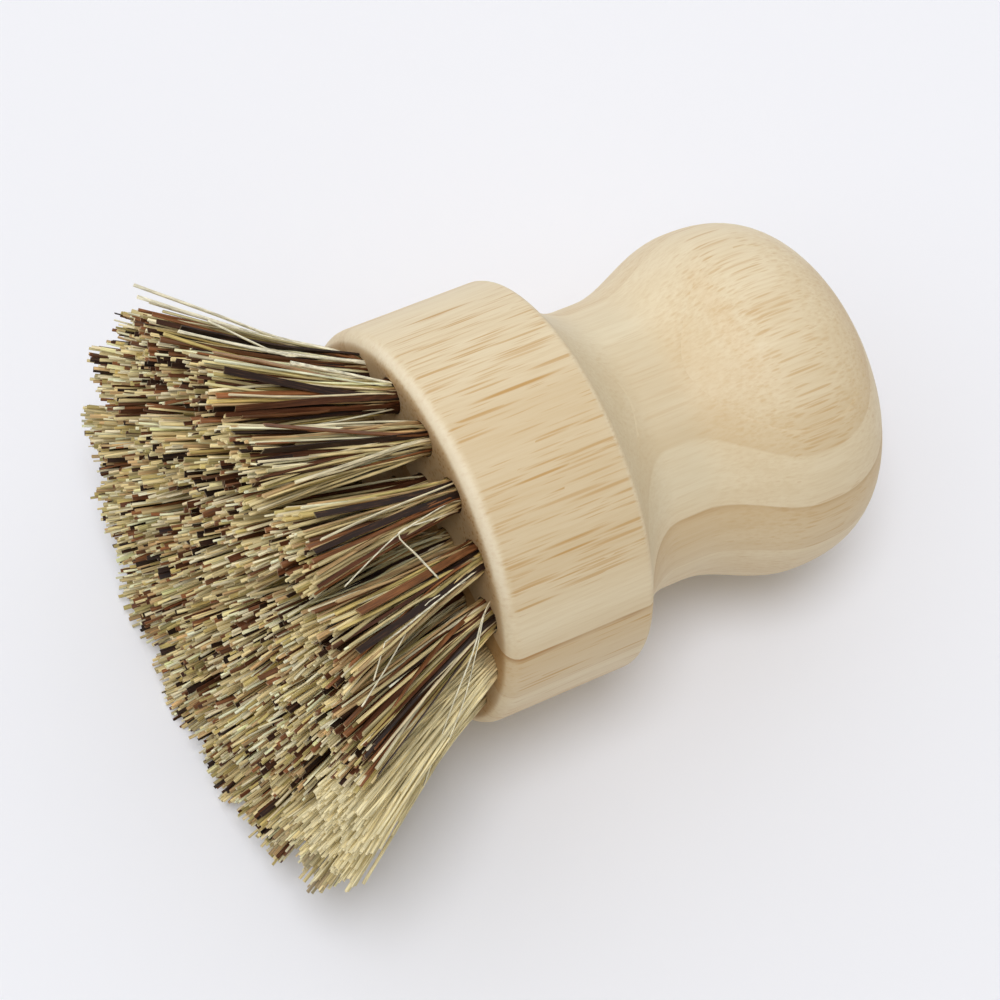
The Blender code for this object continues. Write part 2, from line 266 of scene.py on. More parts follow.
def new_group(name, inputs):
    """A node group with these inputs, as (name, kind, value), and a look's three outputs."""
    tree = bpy.data.node_groups.new(name, "ShaderNodeTree")
    for socket, kind, value in inputs:
        made = tree.interface.new_socket(socket, in_out="INPUT", socket_type=kind)
        made.default_value = value
    for socket, kind in LOOK_SOCKETS:
        tree.interface.new_socket(socket, in_out="OUTPUT", socket_type=kind)
    given = node(tree, "NodeGroupInput").outputs
    result = node(tree, "NodeGroupOutput").inputs
    return tree, given, result


def stepped(tree, level, stops):
    """A number that follows the level: straight between stops, which give heights in millimetres,
    with two stops close together for a jump."""
    made = node(tree, "ShaderNodeValToRGB")
    colour_ramp = made.color_ramp
    while len(colour_ramp.elements) > 1:
        colour_ramp.elements.remove(colour_ramp.elements[-1])
    for i, (height, value) in enumerate(stops):
        position = height / BRUSH_HEIGHT + 0.5
        stop = colour_ramp.elements[0] if i == 0 else colour_ramp.elements.new(position)
        stop.position = position
        stop.color = (value, value, value, 1.0)
    tree.links.new(level, made.inputs["Fac"])
    return made.outputs["Color"]


# How the glued-up boards change over the brush's height in millimetres: darkness, a step that only
# the knob shows, dashes and glue lines
BRUSH_HEIGHT = 2.0 * HEAD_RADIUS / MM
DARKNESS_STOPS = (
    (-25.0, 0.2), (-18.6, 0.42), (-18.5, 0.1), (-11.2, 0.4), (-11.1, 0.6), (-3.75, 0.28),
    (-3.7, 0.36), (0.5, 0.2), (3.65, 0.14), (3.7, 0.36), (8.0, 0.5), (11.05, 0.66), (11.1, 0.16),
    (14.0, 0.08), (16.5, 0.12), (25.0, 0.1),
)
STEP_STOPS = ((-25.0, 0.0), (16.5, 0.0), (16.6, 0.36), (18.5, 0.24), (20.5, 0.08), (22.5, 0.0))
DASH_STOPS = (
    (-25.0, 0.7), (-18.6, 0.95), (-18.5, 0.15), (-11.2, 0.8), (-11.1, 0.9), (-3.75, 0.2),
    (-3.7, 0.8), (0.5, 0.3), (3.65, 0.05), (3.7, 0.3), (8.0, 0.55), (11.05, 0.95), (11.1, 0.03),
    (15.8, 0.06), (17.2, 0.7), (18.5, 1.0), (21.5, 1.0), (25.0, 0.75),
)
GLUE_STOPS = (
    (-18.9, 0.0), (-18.5, 0.4), (-18.49, 0.0), (-11.5, 0.0), (-11.1, 0.5), (-11.09, 0.0),
    (-4.0, 0.0), (-3.7, 0.3), (-3.69, 0.0), (3.7, 0.0), (3.71, 0.15), (4.0, 0.0), (10.3, 0.0),
    (11.0, 0.85), (11.08, 0.85), (11.1, 0.0),
)
KNOB_RING = 40.5

# Dashes, in three sizes: cells to the millimetre across, up and along the brush, reach, strength
DASH_SIZES = (
    ((1.5, 1.5, 0.06), 0.47, 1.0),
    ((2.2, 2.2, 0.085), 0.49, 0.85),
    ((3.2, 3.2, 0.14), 0.46, 0.6),
)

PALE_WOOD = linear(233, 217, 184)
DARK_WOOD = linear(200, 168, 118)
STREAK_WOOD = linear(206, 176, 126)
MOTTLED_WOOD = linear(202, 168, 110)
RING_WOOD = linear(214, 166, 102)
DASH_WOOD = linear(194, 150, 86)
GLUE_LINE = linear(170, 124, 70)
SANDED_EDGE_AND_PAINTED_HIGHLIGHT = linear(250, 238, 212)
PAINTED_COVE_SHADE = linear(214, 210, 188)
END_GRAIN_AND_PAINTED_SHADE = linear(164, 124, 74)


def board_tones(tree, level, height, knob, cross_cut):
    """How dark the boards are, with the knob's step and a painted shade on the top of the head's
    band.
    """
    step = product(tree, stepped(tree, level, STEP_STOPS), knob)
    # Painted shade: the head's band is darkened towards its top, but not on the knob or the rounded
    # edge.
    painted_band_shade = ramp(tree, height, 16.0, 20.0, 0.0, 0.32)
    painted_band_shade = product(tree, painted_band_shade, rest_of(tree, knob), rest_of(tree, cross_cut))
    tones = maths(tree, "ADD", stepped(tree, level, DARKNESS_STOPS), step)
    return maths(tree, "ADD", tones, painted_band_shade)


def dash_marks(tree, place, dash_share):
    """Dark bundles: a share of long cells, each with its own size and strength."""
    marks = None
    for cell, reach, strength in DASH_SIZES:
        cells = cells_at(tree, place, cell)
        own = node(tree, "ShaderNodeSeparateColor")
        tree.links.new(cells["Color"], own.inputs[0])
        kept = maths(tree, "LESS_THAN", own.outputs["Red"], dash_share)
        size = maths(tree, "MULTIPLY_ADD", own.outputs["Green"], 0.4 * reach, 0.6 * reach)
        dash = ramp(tree, cells["Distance"], size, product(tree, size, 0.4))
        own_strength = maths(tree, "MULTIPLY_ADD", own.outputs["Blue"], 0.45, 0.55)
        dash = product(tree, dash, product(tree, kept, strength), own_strength)
        marks = dash if marks is None else maths(tree, "MAXIMUM", marks, dash)
    return marks


def bamboo_group():
    """Bamboo in glued-up layers, each with dark bundles that are denser towards the cane's skin."""
    tree, given, result = new_group("bamboo_grain", (("Shift", NUMBER, 0.0),))
    true_place = brush_place(tree)
    x, y, z = parted(tree, true_place)
    moved = node(tree, "ShaderNodeCombineXYZ")
    tree.links.new(given["Shift"], moved.inputs["Z"])
    place = vector_maths(tree, "ADD", true_place, moved.outputs[0])

    # Where the point is: its height among the boards, its side, knob or head, and how steeply the
    # surface cuts across the grain there
    wobble = noise_at(tree, place, (0.09, 0.09, 0.06))
    height = maths(tree, "MULTIPLY_ADD", maths(tree, "SUBTRACT", wobble, 0.5), 0.3, y)
    level = maths(tree, "ADD", maths(tree, "DIVIDE", height, BRUSH_HEIGHT), 0.5)
    side = ramp(tree, x, 1.0, 9.0, 1.0, 0.22)
    side = maths(tree, "MAXIMUM", side, ramp(tree, y, 6.0, 1.0))
    knob = ramp(tree, z, 17.0, 25.0, 0.12, 1.0)
    along = node(tree, "ShaderNodeVectorMath", operation="DOT_PRODUCT")
    facing = node(tree, "ShaderNodeNewGeometry").outputs["Normal"]
    tree.links.new(facing, along.inputs[0])
    along.inputs[1].default_value = BRUSH.to_3x3().col[2]
    slope = maths(tree, "ABSOLUTE", along.outputs["Value"])
    cross_cut = ramp(tree, slope, 0.04, 0.4)

    darkness = product(tree, board_tones(tree, level, height, knob, cross_cut), side)
    glue = product(tree, stepped(tree, level, GLUE_STOPS), side)
    patches = noise_at(tree, place, (0.16, 0.22, 0.05))
    dash_share = stepped(tree, level, DASH_STOPS)
    dash_share = product(tree, dash_share, ramp(tree, patches, 0.34, 0.56, 0.6, 1.05))
    marks = product(
        tree,
        dash_marks(tree, place, dash_share),
        maths(tree, "MULTIPLY_ADD", cross_cut, -0.6, 1.0),
        ramp(tree, z, 18.5, 23.0, 1.0, 0.35),
        ramp(tree, z, 33.0, 42.0, 1.0, 2.0),
    )

    # The boards' tone with its bands and streaks, and spots where the grain is cut across
    streaks = noise_at(tree, place, (2.6, 2.6, 0.12), 3.0, 0.65)
    grit = noise_at(tree, place, (2.2, 2.2, 0.9), 2.0, 0.6)
    bands = ramp(tree, noise_at(tree, place, (0.28, 0.45, 0.012)), 0.3, 0.7, -0.06, 0.08)
    tone = maths(tree, "ADD", darkness, bands, clamp=True)
    colour = blended(tree, tone, PALE_WOOD, DARK_WOOD)
    colour = blended(tree, ramp(tree, streaks, 0.35, 0.75, 0.0, 0.3), colour, STREAK_WOOD)
    mottle = product(
        tree,
        ramp(tree, grit, 0.42, 0.66, 0.0, 0.18),
        cross_cut,
        maths(tree, "MULTIPLY_ADD", dash_share, 0.75, 0.25),
    )
    colour = blended(tree, mottle, colour, MOTTLED_WOOD)

    # The ring on the knob, the dashes, and the glue lines with their gaps
    ring_place = maths(tree, "MULTIPLY_ADD", maths(tree, "SUBTRACT", patches, 0.5), 6.0, z)
    ring = maths(tree, "ABSOLUTE", maths(tree, "SUBTRACT", ring_place, KNOB_RING))
    ring = product(
        tree,
        ramp(tree, ring, 2.2, 0.3, 0.0, 0.1),
        ramp(tree, height, 16.6, 19.0),
        ramp(tree, x, -9.0, 3.0),
    )
    colour = blended(tree, ring, colour, RING_WOOD)
    colour = blended(tree, product(tree, marks, 0.9), colour, DASH_WOOD)
    line_break = ramp(tree, noise_at(tree, place, (0.2, 0.2, 0.12)), 0.3, 0.6, 0.4, 1.0)
    line_break = product(tree, line_break, ramp(tree, z, 17.0, 24.0, 1.0, 0.35))
    colour = blended(tree, product(tree, glue, line_break), colour, GLUE_LINE)

    # The rounded edge at the face is paler where it was sanded, and carries a painted highlight
    # that is strongest on the top side
    sanded_edge_and_painted_highlight = product(
        tree,
        ramp(tree, z, 0.05, 0.5),
        ramp(tree, z, 1.6, 0.8),
        ramp(tree, height, 14.0, 20.0, 0.0, 0.5),
    )
    colour = blended(tree, sanded_edge_and_painted_highlight, colour, SANDED_EDGE_AND_PAINTED_HIGHLIGHT)
    # The shoulder's cove and the neck, on the top side, are blended towards a pale greyish green:
    # painted shade of the cove
    painted_cove_shade = product(
        tree,
        ramp(tree, z, 19.0, 20.5, 0.0, 0.22),
        ramp(tree, z, 36.0, 30.0),
        ramp(tree, y, 10.0, 15.0),
    )
    colour = blended(tree, painted_cove_shade, colour, PAINTED_COVE_SHADE)

    # End grain, darkest on the face, where part of the darkening is painted shade between the tufts
    end_grain = ramp(tree, slope, 0.82, 1.0)
    end_cells = cells_at(tree, place, (1.7, 1.7, 0.1))["Distance"]
    end_spots = product(tree, ramp(tree, end_cells, 0.42, 0.2, 0.0, 0.28), dash_share)
    end_share = maths(tree, "MULTIPLY_ADD", darkness, 0.5, end_spots)
    # The front share is larger on the face than on the knob's end; on the face it is partly painted
    # shade between the tufts.
    front = ramp(tree, z, 30.0, 20.0, 0.12, 0.4)
    front = maths(tree, "ADD", front, ramp(tree, z, 12.0, 4.0, 0.0, 0.22))
    end_share = maths(tree, "ADD", end_share, front)
    end_share = maths(tree, "MULTIPLY", end_share, end_grain, clamp=True)
    feed(tree, result["Colour"], blended(tree, end_share, colour, END_GRAIN_AND_PAINTED_SHADE))

    rough = maths(tree, "MULTIPLY_ADD", marks, 0.12, 0.52)
    feed(tree, result["Roughness"], maths(tree, "MULTIPLY_ADD", end_grain, 0.15, rough))
    low = product(tree, marks, -0.6)
    feed(tree, result["Height"], maths(tree, "MULTIPLY_ADD", streaks, 0.35, low))
    return tree


WHITE = (1.0, 1.0, 1.0, 1.0)
ROOT_SHADE = (0.5, 0.38, 0.26, 1.0)
FIBRE_STREAK = linear(170, 124, 86)
CUT_FIBRE = linear(226, 205, 155)


def fibre_group():
    """Plant fibre: each strand's own tint, with streaks along it, blotches and painted shade
    towards its root.
    """
    tree, given, result = new_group("fibre_tint", (("Cut end", NUMBER, 0.0),))
    tint = node(tree, "ShaderNodeAttribute", attribute_name="tint").outputs["Color"]
    along = node(tree, "ShaderNodeAttribute", attribute_name="along").outputs["Fac"]
    grain = node(tree, "ShaderNodeAttribute", attribute_name="grain").outputs["Vector"]
    streaks = noise_at(tree, grain, (6.5, 6.5, 0.3), 3.0, 0.65)
    blotches = noise_at(tree, grain, (1.0, 1.0, 0.3))
    light = ramp(tree, streaks, 0.3, 0.7, 0.58, 1.28)
    light = product(tree, light, ramp(tree, blotches, 0.3, 0.7, 0.84, 1.12))
    shade = node(tree, "ShaderNodeCombineXYZ")
    for i in range(3):
        tree.links.new(light, shade.inputs[i])
    colour = blended(tree, 1.0, tint, shade.outputs[0], "MULTIPLY")
    colour = blended(tree, ramp(tree, streaks, 0.52, 0.7, 0.0, 0.16), colour, FIBRE_STREAK)
    # Painted shade: strands are darker towards their roots.
    root = blended(tree, ramp(tree, along, -0.05, 0.28), ROOT_SHADE, WHITE)
    colour = blended(tree, 1.0, colour, root, "MULTIPLY")
    pale = blended(tree, 0.2, colour, CUT_FIBRE)
    feed(tree, result["Colour"], blended(tree, given["Cut end"], colour, pale))
    feed(tree, result["Roughness"], ramp(tree, streaks, 0.2, 0.8, 0.36, 0.6))
    feed(tree, result["Height"], streaks)
    return tree


def steel_group():
    """Drawn wire: fine lines along the strip and dull patches."""
    tree, _, result = new_group("drawn_steel", ())
    place = brush_place(tree)
    lines = noise_at(tree, place, (1.5, 1.5, 14.0), 3.0)
    patches = noise_at(tree, place, (0.8, 0.8, 0.8))
    colour = blended(tree, patches, linear(196, 196, 194), linear(150, 148, 142))
    feed(tree, result["Colour"], colour)
    feed(tree, result["Roughness"], ramp(tree, lines, 0.3, 0.7, 0.28, 0.46))
    feed(tree, result["Height"], lines)
    return tree


def finish_material(name, group, values, bump, bump_depth, metallic=0.0, specular=0.5):
    """A material whose colour, roughness and bump come from a group, given its own values."""
    made = bpy.data.materials.new(name)
    made.use_nodes = True
    tree = made.node_tree
    shader = tree.nodes["Principled BSDF"]
    source = node(tree, "ShaderNodeGroup", node_tree=group)
    for socket, value in values.items():
        source.inputs[socket].default_value = value
    tree.links.new(source.outputs["Colour"], shader.inputs["Base Color"])
    tree.links.new(source.outputs["Roughness"], shader.inputs["Roughness"])
    relief = node(tree, "ShaderNodeBump")
    relief.inputs["Strength"].default_value = bump
    relief.inputs["Distance"].default_value = bump_depth
    tree.links.new(source.outputs["Height"], relief.inputs["Height"])
    tree.links.new(relief.outputs["Normal"], shader.inputs["Normal"])
    shader.inputs["Metallic"].default_value = metallic
    shader.inputs["Specular IOR Level"].default_value = specular
    return made


BAMBOO = bamboo_group()
FIBRE = fibre_group()
STEEL = steel_group()
BOARD_GRAIN_SHIFT = 31.7


def board_material(number):
    """Bamboo with a grain of its own for each board."""
    values = {"Shift": BOARD_GRAIN_SHIFT * number}
    name = f"bamboo_board_{number}"
    return finish_material(name, BAMBOO, values, bump=0.3, bump_depth=0.05 * MM, specular=0.35)


# Handle

def eased(share):
    return (1.0 - math.cos(math.pi * share)) / 2.0


def handle_outline():
    """(radius, distance from the face) along the handle's outside, with its middle at both ends."""
    points = [(0.0, 0.0)]
    for i in range(FILLET_STEPS + 1):
        angle = math.pi / 2.0 * i / FILLET_STEPS
        radius = HEAD_RADIUS - FACE_FILLET + FACE_FILLET * math.sin(angle)
        points.append((radius, FACE_FILLET - FACE_FILLET * math.cos(angle)))
    for i in range(BAND_EDGE_STEPS + 1):
        angle = BAND_EDGE_TURN * i / BAND_EDGE_STEPS
        cove_top = HEAD_RADIUS - BAND_EDGE_RADIUS * (1.0 - math.cos(angle))
        cove_start = BAND_END + BAND_EDGE_RADIUS * math.sin(angle)
        points.append((cove_top, cove_start))
    for i in range(1, COVE_STEPS + 1):
        share = i / COVE_STEPS
        radius = NECK_RADIUS + (cove_top - NECK_RADIUS) * (1.0 - share) ** COVE_POWER
        points.append((radius, cove_start + (NECK_START - cove_start) * share))
    for i in range(KNOB_STEPS + 1):
        share = i / KNOB_STEPS
        radius = NECK_RADIUS + (KNOB_RADIUS - NECK_RADIUS) * eased(share)
        points.append((radius, NECK_END + (KNOB_WIDEST - NECK_END) * share))
    for i in range(1, END_STEPS):
        share = math.sin(math.pi / 2.0 * i / END_STEPS)
        radius = KNOB_RADIUS * (1.0 - share**KNOB_ROUNDNESS) ** (1.0 / KNOB_ROUNDNESS)
        points.append((radius, KNOB_WIDEST + (HANDLE_LENGTH - KNOB_WIDEST) * share))
    points.append((0.0, HANDLE_LENGTH))
    return points


def turned_handle():
    """The outline turned about its axis: a flat grid whose rows go to the steps of the turn."""
    outline = handle_outline()
    last = len(outline) - 1
    bm = bmesh.new()
    bmesh.ops.create_grid(bm, x_segments=last, y_segments=TURNED_STEPS, size=1.0)
    for vert in bm.verts:
        radius, height = outline[round((vert.co.x + 1.0) / 2.0 * last)]
        step = round((vert.co.y + 1.0) / 2.0 * TURNED_STEPS) % TURNED_STEPS
        angle = math.tau * step / TURNED_STEPS
        vert.co = radius * math.cos(angle), radius * math.sin(angle), height
    bmesh.ops.remove_doubles(bm, verts=bm.verts, dist=MERGE_DISTANCE)
    bmesh.ops.recalc_face_normals(bm, faces=bm.faces)
    front = [face for face in bm.faces if max(v.co.z for v in face.verts) < MERGE_DISTANCE]
    bmesh.ops.dissolve_faces(bm, faces=front)
    return bm


def tuft_places():
    """Every tuft as (name, ring, angle from +Y)."""
    places = []
    for ring in RINGS:
        for i in range(ring.count):
            angle = math.tau / ring.count * (i + ring.first)
            places.append((f"{ring.name}_{i + 1:02d}", ring, angle))
    return places


# Outward, sideways, along and across directions of a tuft, and the middle of its hole's mouth
Axes = namedtuple("Axes", "outward sideways along across mouth")


def tuft_axes(angle, radius):
    outward = Vector((math.sin(angle), math.cos(angle), 0.0))
    sideways = Vector((math.cos(angle), -math.sin(angle), 0.0))
    lean = math.atan2(radius, AIM_DEPTH)
    down = Vector((0.0, 0.0, -1.0))
    along = outward * math.sin(lean) + down * math.cos(lean)
    across = outward * math.cos(lean) - down * math.sin(lean)
    return Axes(outward, sideways, along, across, outward * radius)


def place_in_hole(axes, depth):
    """Stands a shape along a tuft's hole, with its middle this deep."""
    turn = Matrix((axes.across, axes.sideways, axes.along)).transposed().to_4x4()
    return Matrix.Translation(axes.mouth - axes.along * depth) @ turn


def hole_cutter():
    bm = bmesh.new()
    for _, ring, angle in tuft_places():
        bmesh.ops.create_cone(
            bm,
            cap_ends=True,
            segments=HOLE_STEPS,
            radius1=HOLE_RADIUS,
            radius2=HOLE_RADIUS,
            depth=HOLE_DEPTH + FACE_FILLET,
            matrix=place_in_hole(tuft_axes(angle, ring.radius), (HOLE_DEPTH - FACE_FILLET) / 2.0),
        )
    bmesh.ops.transform(bm, matrix=BRUSH, verts=bm.verts)
    bmesh.ops.recalc_face_normals(bm, faces=bm.faces)
    return new_object("hole_cutter", bm)


def sawn(handle, low, high, start, end):
    """The part of the handle between two heights and two distances from the face, closed."""
    bm = handle.copy()
    cuts = (
        (Vector((0.0, low, 0.0)), Vector((0.0, -1.0, 0.0))),
        (Vector((0.0, high, 0.0)), Vector((0.0, 1.0, 0.0))),
        (Vector((0.0, 0.0, start)), Vector((0.0, 0.0, -1.0))),
        (Vector((0.0, 0.0, end)), Vector((0.0, 0.0, 1.0))),
    )
    for point, outward in cuts:
        everything = bm.verts[:] + bm.edges[:] + bm.faces[:]
        cut = bmesh.ops.bisect_plane(
            bm,
            geom=everything,
            dist=CUT_DISTANCE,
            plane_co=point,
            plane_no=outward,
            clear_outer=True,
        )
        edges = [item for item in cut["geom_cut"] if isinstance(item, bmesh.types.BMEdge)]
        if edges:
            bmesh.ops.holes_fill(bm, edges=edges, sides=0)
    bmesh.ops.recalc_face_normals(bm, faces=bm.faces)
    return bm


def make_boards():
    handle = turned_handle()
    cutter = hole_cutter()
    reach = HEAD_RADIUS + FACE_FILLET
    before, after = -FACE_FILLET, HANDLE_LENGTH + FACE_FILLET
    waist = (NECK_START + NECK_END) / 2.0
    for number in range(1, BOARD_COUNT + 1):
        middle = (number - (BOARD_COUNT + 1) / 2.0) * BOARD_THICKNESS
        low = middle - (BOARD_THICKNESS - GLUE_GAP) / 2.0 if number > 1 else -reach
        high = middle + (BOARD_THICKNESS - GLUE_GAP) / 2.0 if number < BOARD_COUNT else reach
        ends = (("", before, after),)
        if number in (1, BOARD_COUNT):
            ends = (("_head", before, waist), ("_knob", waist, after))
        look = board_material(number)
        for suffix, start, end in ends:
            cad_node = f"bamboo_board_{number}{suffix}"
            bm = sawn(handle, low, high, start, end)
            piece = new_piece(f"turned_board_{number}{suffix}", bm, [look], [cad_node])
            if suffix != "_knob":
                drill(piece, cutter)
            piece.data.shade_smooth()
            piece.data.set_sharp_from_angle(angle=SHARP_ANGLE)
    handle.free()
    bpy.data.objects.remove(cutter, do_unlink=True)


def drill(piece, cutter):
    cut = piece.modifiers.new("holes", "BOOLEAN")
    cut.object = cutter
    cut.operation = "DIFFERENCE"
    cut.solver = "EXACT"
    bpy.context.view_layer.update()
    drilled = piece.evaluated_get(bpy.context.evaluated_depsgraph_get())
    mesh = bpy.data.meshes.new_from_object(drilled)
    piece.modifiers.clear()
    piece.data = mesh


# Tufts

CORNERS = ((1, 1), (-1, 1), (-1, -1), (1, -1))

# Kinds of strand. Widths and thicknesses are millimetres.
Kind = namedtuple("Kind", "share colour varies width thickness strays")
STRAND_KINDS = (
    Kind(0.30, linear(229, 209, 153), 0.18, 0.32, 0.25, 1.0),
    Kind(0.24, linear(249, 235, 194), 0.10, 0.24, 0.20, 1.5),
    Kind(0.10, linear(198, 178, 112), 0.22, 0.38, 0.26, 1.0),
    Kind(0.09, linear(200, 166, 116), 0.20, 0.34, 0.25, 1.0),
    Kind(0.12, linear(128, 82, 48), 0.30, 0.44, 0.20, 1.0),
    Kind(0.09, linear(86, 50, 30), 0.32, 0.64, 0.13, 0.8),
    Kind(0.09, linear(42, 25, 17), 0.34, 0.80, 0.14, 0.8),
)
PALE_KINDS = 4
PALE_STRAW, RED_BROWN, BROWN, NEAR_BLACK = (STRAND_KINDS[i] for i in (1, 4, 5, 6))
FLAT_WIDTH = 0.6

# How far strands stray from their places, in shares of the tuft's radius, and how far they may go
STRAY = 0.2
WILD_STRAY = 0.6
WILD_CHANCE = 0.06
OUTER_LIMIT = 1.02
INNER_LIMIT = 1.2

# How uneven the cut is, and how often and by how many millimetres strands are broken off
LENGTH_SCATTER = 0.65 * MM
TUFT_LENGTH_SCATTER = 0.2 * MM
BROKEN_CHANCE = 0.12
BROKEN_LENGTHS = (0.5, 5.0)

# How wavy strands are, in millimetres, and the places of those that lie on the outside of a tuft
WAVE = 0.24
OUTSIDE_WAVE = 0.12
OUTSIDE_AT_ROOT = 1.06
OUTSIDE_AT_TIP = 1.08
OUTSIDE_VARIES = 0.08

# A strand's section: how sizes vary, how it is turned, and how it twists from step to step
THICKNESS_SHARES = (0.8, 1.2)
ROOT_SIZES = (0.75, 0.95)
TIP_SIZES = (0.8, 1.25)
FLAT_TIP_SIZES = (0.6, 1.0)
FLAT_TURN = 0.35
FLAT_TWIST = 0.08
TWIST = 0.2

# A strand's colour: least and most light, how much its warmth varies, and the brightest value
LEAST_LIGHT = 0.4
MOST_LIGHT = 1.5
WARMTH_VARIES = 0.03
BRIGHTEST = 0.95

# Where a strand's streaks are taken from, in millimetres: how far apart strands may be, how far a
# step along one goes, and how much its thickness counts
GRAIN_SPREAD = 50.0
GRAIN_STEP = 4.2
GRAIN_FLATNESS = 0.4

# Clumps of strands that are alike: how many to a tuft, and how wide, in shares of its radius. Dark
# strands are rarer between dark clumps, and long clumps are longer by this many millimetres.
DARK_CLUMPS = (3, 0.38)
LONG_CLUMPS = (4, 0.5)
DARK_BETWEEN = 0.35
DARK_IN_CLUMP = 4.0
CLUMP_MEAN = 0.4
CLUMP_LENGTH = 1.3

# Tufts with more or fewer brown and dark strands, the range of the other tufts, and tufts mixed
# with cream, which are paler fibres and also painted light: the light these tufts catch from the
# table and through their fibres
DARK_TUFTS = {
    "outer_01": 2.2,
    "outer_02": 3.6,
    "outer_03": 3.6,
    "outer_04": 2.0,
    "outer_12": 0.8,
    "outer_13": 0.2,
    "outer_14": 0.2,
    "outer_15": 1.6,
    "outer_16": 1.6,
    "outer_17": 1.3,
}
OTHER_TUFTS = (0.6, 1.3)
PALE_AND_PAINTED_LIGHT_TUFTS = {"outer_12": 0.4, "outer_13": 0.9, "outer_14": 1.0}
CREAM = linear(252, 238, 190)

# How much longer than the even cut some tufts were left, in millimetres. These are all shorter.
LONGER_TUFTS = {
    "outer_02": -0.5,
    "outer_03": -1.0,
    "outer_04": -1.7,
    "outer_05": -1.1,
    "outer_12": -0.4,
}

# Single fibres that have sprung loose: colour, width, and points in the brush's frame. Widths and
# points are millimetres.
STRAW = linear(255, 248, 218)
PALE_BARK = linear(176, 138, 102)
BARK = linear(128, 82, 48)
DARK_BARK = linear(46, 34, 30)
LOOSE_THICKNESS = 0.25
LOOSE_THICKNESS_SHARE = 0.6
LOOSE_FIBRES = (
    (STRAW, 0.2, (
        (-6.0, 21.2, -0.6), (-6.6, 24.0, -5.0), (-7.2, 26.0, -9.9), (-10.3, 24.6, -8.5),
        (-12.9, 22.9, -7.0),
    )),
    (STRAW, 0.22, (
        (-3.9, 20.4, 1.4), (-4.6, 21.6, 0.0), (-5.9, 24.0, -4.8), (-7.3, 26.2, -9.9),
        (-9.1, 27.2, -14.4), (-11.2, 28.5, -19.0),
    )),
    (STRAW, 0.2, (
        (-11.4, 17.8, 1.4), (-12.5, 18.9, -0.5), (-14.1, 21.3, -5.0), (-15.5, 23.1, -9.1),
        (-17.1, 25.0, -13.8), (-18.0, 26.0, -16.7), (-18.3, 26.0, -17.2), (-21.3, 25.0, -19.8),
    )),
    (STRAW, 0.16, (
        (-11.8, 17.2, 1.4), (-13.0, 18.2, -0.9), (-14.1, 21.0, -5.7), (-15.6, 23.6, -10.7),
        (-20.0, 23.2, -17.1), (-23.1, 23.4, -21.8),
    )),
    (STRAW, 0.24, (
        (-15.6, 14.6, 0.6), (-17.0, 15.6, -1.6), (-20.3, 15.0, -4.5), (-24.3, 12.3, -8.5),
        (-29.4, 1.4, -12.5),
    )),
    (STRAW, 0.2, (
        (-15.4, 14.9, 0.6), (-16.8, 16.0, -1.4), (-20.2, 14.6, -3.9), (-24.2, 10.5, -6.7),
        (-27.0, 6.6, -9.3),
    )),
    (STRAW, 0.34, (
        (17.6, 10.6, 0.8), (20.1, 11.5, -1.0), (23.6, 14.0, -8.0), (27.8, 16.6, -14.2),
        (33.5, 19.8, -22.5),
    )),
    (STRAW, 0.34, (
        (17.2, 11.2, 0.8), (19.1, 13.0, -1.1), (23.8, 14.2, -8.9), (27.4, 16.3, -14.8),
        (32.2, 19.3, -22.6),
    )),
    (STRAW, 0.3, (
        (17.0, 11.4, 0.8), (19.4, 12.6, -1.6), (23.4, 14.2, -8.4), (27.0, 15.8, -14.0),
        (31.6, 18.0, -21.2),
    )),
    (BARK, 0.4, (
        (16.4, 12.4, 0.8), (17.9, 14.4, -0.8), (21.4, 12.9, -4.6), (26.9, 16.0, -15.2),
        (31.0, 18.4, -22.9),
    )),
    (BARK, 0.4, (
        (16.0, 12.8, 0.8), (17.9, 14.3, -0.9), (22.7, 15.9, -10.6), (25.4, 16.2, -14.9),
        (28.4, 18.5, -21.4),
    )),
    (DARK_BARK, 0.95, (
        (17.2, 13.0, 1.2), (18.0, 13.9, 0.3), (19.6, 15.6, -4.6), (21.6, 17.7, -10.5),
        (26.1, 21.1, -20.3),
    )),
    (STRAW, 0.42, (
        (16.0, 13.4, 1.2), (16.6, 14.6, 0.2), (18.8, 18.0, -7.3), (20.6, 19.8, -12.1),
        (25.2, 22.9, -21.2),
    )),
    (STRAW, 0.28, (
        (15.9, 13.6, 1.2), (16.5, 14.6, 0.1), (18.8, 17.8, -7.2), (19.9, 19.2, -10.6),
        (26.0, 20.6, -16.8),
    )),
    (STRAW, 0.38, (
        (11.2, 18.4, 1.2), (11.6, 19.2, 0.1), (13.4, 21.2, -4.2), (15.0, 23.0, -8.2),
        (16.5, 24.2, -11.5),
    )),
    (PALE_BARK, 0.66, (
        (11.0, 18.2, 1.4), (11.2, 19.0, 0.1), (12.6, 20.9, -4.5), (16.4, 24.8, -12.8),
        (19.4, 28.4, -20.4),
    )),
)

